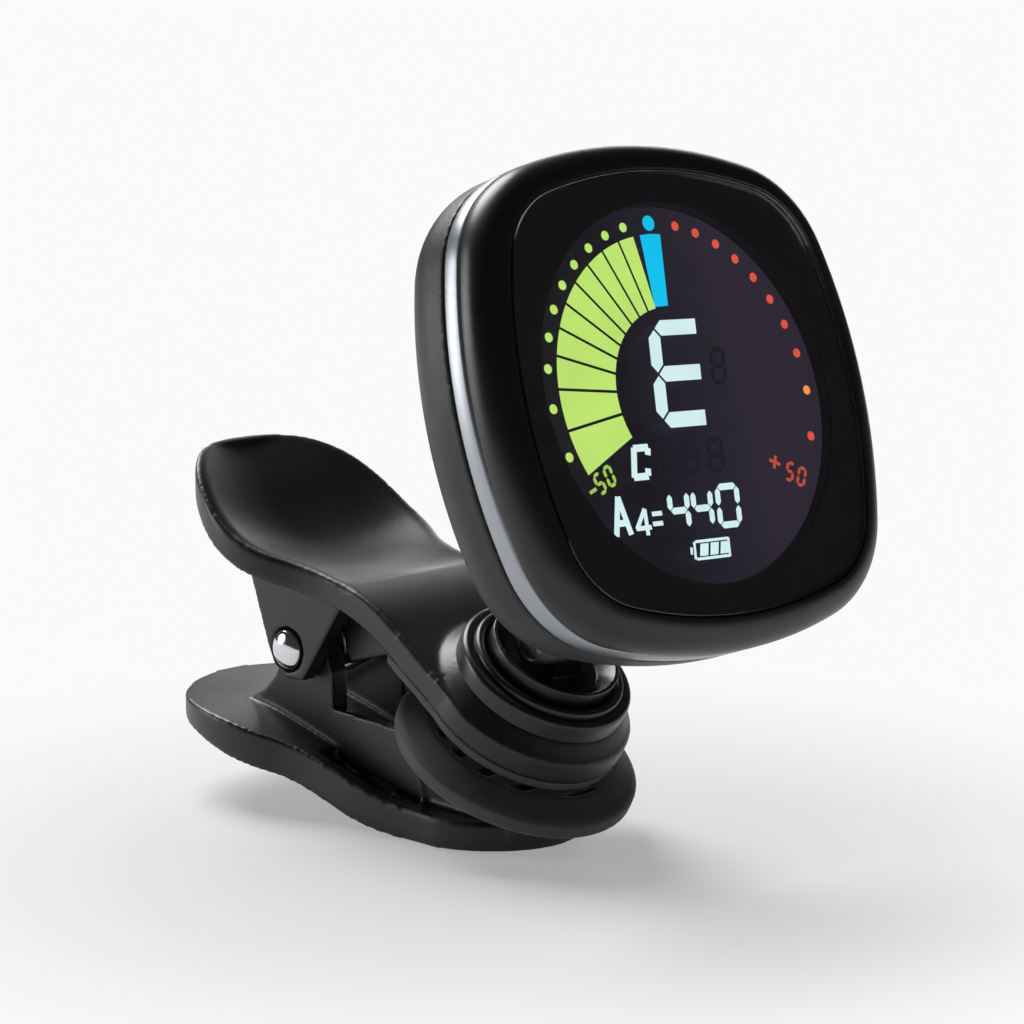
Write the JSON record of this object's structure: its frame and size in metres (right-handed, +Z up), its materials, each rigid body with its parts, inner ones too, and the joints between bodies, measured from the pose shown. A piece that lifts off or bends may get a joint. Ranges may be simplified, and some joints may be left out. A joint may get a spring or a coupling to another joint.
{
  "type": "clip_on_tuner",
  "caption": "Clip-on instrument tuner: a rounded-square display head on a tilting, swivelling neck, carried by a sprung clip with rubber-lined jaws.",
  "frame": {"origin": "On the surface the clip stands on, in the clip's mid-plane, below the front of the lower arm's belly.", "axes": "+Z is up, +X points to the nose of the clip where the head stands, and Y lies along the clip's pivot pin."},
  "size_m": [0.0693, 0.045, 0.064],
  "materials": {
    "bezel_plastic": "satin black moulded ABS",
    "window": "clear polished acrylic over a black surround",
    "mask_ink": "black screen-printed ink",
    "lcd_glass": "negative colour display with lit segments",
    "diffuser": "white light guide",
    "inner_plastic": "black moulded ABS",
    "elastomer": "striped conductive elastomer",
    "board": "green solder-masked glass epoxy",
    "chip_resin": "black epoxy moulding",
    "plated_steel": "nickel-plated steel",
    "battery_foil": "laminated aluminium pouch",
    "sensor_brass": "plain brass",
    "band_silver": "satin silver metallised trim",
    "shell_plastic": "fine-textured black moulded ABS",
    "key_rubber": "matte black silicone",
    "neck_plastic": "satin black nylon",
    "clip_plastic": "satin black moulded ABS",
    "pad_rubber": "matte dark grey rubber",
    "pin_chrome": "polished chrome plate",
    "spring_steel": "oiled spring steel wire"
  },
  "bodies": {
    "lower_jaw": {"lower_arm": "clip_plastic", "lower_pad": "pad_rubber", "torsion_spring": "spring_steel"},
    "upper_jaw": {"upper_arm": "clip_plastic", "upper_liner": "pad_rubber", "swivel_collar": "neck_plastic", "pivot_pin": "pin_chrome", "pin_cap": "pin_chrome"},
    "swivel": {"swivel_disc": "neck_plastic", "swivel_screw": "plated_steel", "swivel_washer": "plated_steel"},
    "head": {"front_bezel": "bezel_plastic", "window_lens": "window", "window_mask": "mask_ink", "lcd_panel": "lcd_glass", "backlight_plate": "diffuser", "lcd_frame": "inner_plastic", "lcd_connectors": "elastomer", "circuit_board": "board", "main_chip": "chip_resin", "key_switches": "inner_plastic", "charging_socket": "plated_steel", "battery": "battery_foil", "piezo_sensor": "sensor_brass", "trim_band": "band_silver", "rear_cover": "shell_plastic", "case_screws": "plated_steel", "hinge_screw": "plated_steel", "hinge_nut": "sensor_brass"},
    "power_key": {"power_button": "key_rubber"},
    "mode_key": {"mode_button": "key_rubber"},
    "pitch_key": {"pitch_button": "key_rubber"}
  },
  "joints": [
    {"name": "clip_open", "type": "hinge", "parent": "lower_jaw", "child": "upper_jaw", "pos_m": [-0.0183, 0, 0.0151], "axis": [0, -1, 0], "range_deg": [0, 30], "stiffness_Nm_per_rad": 0.15, "springref_deg": -68.75, "deforming": ["torsion_spring"]},
    {"name": "head_swivel", "type": "hinge", "parent": "upper_jaw", "child": "swivel", "pos_m": [0.01, 0, 0.0184], "axis": [0.5446, 0, 0.8387], "range_deg": [-180, 180]},
    {"name": "head_tilt", "type": "hinge", "parent": "swivel", "child": "head", "pos_m": [0.01076, 0, 0.01957], "axis": [0.06, 0.9974, -0.0389], "range_deg": [-50, 35]},
    {"name": "power_press", "type": "slide", "parent": "head", "child": "power_key", "axis": [0.9413, -0.0435, 0.3347], "range_m": [0, 0.0003], "stiffness_N_per_m": 3000, "springref_m": -0.0003},
    {"name": "mode_press", "type": "slide", "parent": "head", "child": "mode_key", "axis": [0.9413, -0.0435, 0.3347], "range_m": [0, 0.0003], "stiffness_N_per_m": 3000, "springref_m": -0.0003},
    {"name": "pitch_press", "type": "slide", "parent": "head", "child": "pitch_key", "axis": [0.9413, -0.0435, 0.3347], "range_m": [0, 0.0003], "stiffness_N_per_m": 3000, "springref_m": -0.0003}
  ]
}
